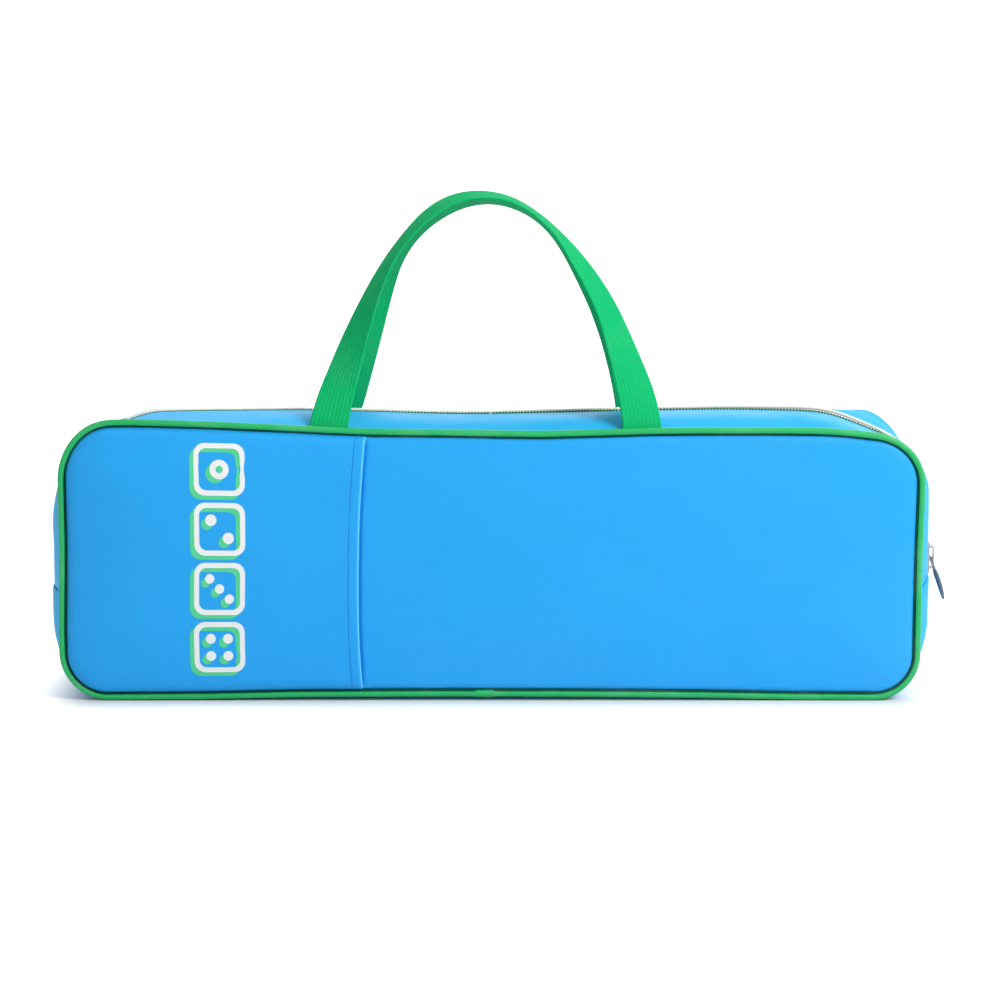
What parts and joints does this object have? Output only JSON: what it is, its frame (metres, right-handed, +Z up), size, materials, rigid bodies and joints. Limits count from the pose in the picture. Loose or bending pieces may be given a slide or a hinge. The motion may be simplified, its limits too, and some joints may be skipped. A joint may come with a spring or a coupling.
{
  "type": "mahjong case",
  "caption": "Soft padded oblong carrying case with piped edges, slip pocket, webbing handles and a zip over the top.",
  "frame": {"origin": "on the floor under the middle of the flat base", "axes": "+X along the case to the end with the zip slider, +Y from front to back, +Z up"},
  "size_m": [0.5979, 0.1154, 0.3331],
  "materials": {
    "coated_fabric": "smooth satin coated fabric",
    "gusset_fabric": "smooth satin coated fabric",
    "foam": "open foam",
    "lining": "plain woven",
    "piping": "smooth satin coated fabric",
    "piping_core": "twisted cord",
    "binding_tape": "woven tape",
    "board": "stiff board",
    "zip_tape": "herringbone woven",
    "zip_coil": "satin coil",
    "slider_metal": "polished",
    "pull_metal": "dark satin enamel",
    "webbing": "ribbed webbing"
  },
  "bodies": {
    "case": {"front_panel": "coated_fabric", "pocket_panel": "coated_fabric", "back_panel": "coated_fabric", "front_foam": "foam", "back_foam": "foam", "front_lining": "lining", "back_lining": "lining", "front_piping_cover": "piping", "back_piping_cover": "piping", "front_piping_cord": "piping_core", "back_piping_cord": "piping_core", "front_seam_binding": "binding_tape", "back_seam_binding": "binding_tape", "bottom_gusset": "gusset_fabric", "zip_gusset": "gusset_fabric", "bottom_lining": "lining", "end_linings": "lining", "base_foam": "foam", "base_board": "board", "end_zip_tapes": "zip_tape", "end_coils": "zip_coil", "zip_stops": "slider_metal", "handle_tails": "webbing"},
    "front_flap": {"front_flap": "gusset_fabric", "front_flap_lining": "lining", "front_zip_tape": "zip_tape", "front_coil": "zip_coil"},
    "back_flap": {"back_flap": "gusset_fabric", "back_flap_lining": "lining", "back_zip_tape": "zip_tape", "back_coil": "zip_coil"},
    "front_handle": {"front_handle": "webbing"},
    "back_handle": {"back_handle": "webbing"},
    "slider": {"slider_body": "slider_metal", "slider_bridge": "slider_metal"},
    "pull": {"pull": "pull_metal"}
  },
  "joints": [
    {"name": "front_flap_fold", "type": "hinge", "parent": "case", "child": "front_flap", "pos_m": [0, -0.0445, 0.181], "axis": [1, 0, 0], "range_deg": [0, 50]},
    {"name": "back_flap_fold", "type": "hinge", "parent": "case", "child": "back_flap", "pos_m": [0, 0.0445, 0.181], "axis": [-1, 0, 0], "range_deg": [0, 50]},
    {"name": "front_handle_fold", "type": "hinge", "parent": "case", "child": "front_handle", "pos_m": [0, -0.05, 0.1771], "axis": [1, 0, 0], "range_deg": [0, 175]},
    {"name": "back_handle_fold", "type": "hinge", "parent": "case", "child": "back_handle", "pos_m": [0, 0.05, 0.1771], "axis": [-1, 0, 0], "range_deg": [0, 175]},
    {"name": "slider_run", "type": "slide", "parent": "case", "child": "slider", "axis": [0, 0, 1], "range_m": [0, 0.04]},
    {"name": "pull_swing", "type": "hinge", "parent": "slider", "child": "pull", "pos_m": [0.29554, 0, 0.0874], "axis": [0, -1, 0], "range_deg": [0, 150]}
  ]
}
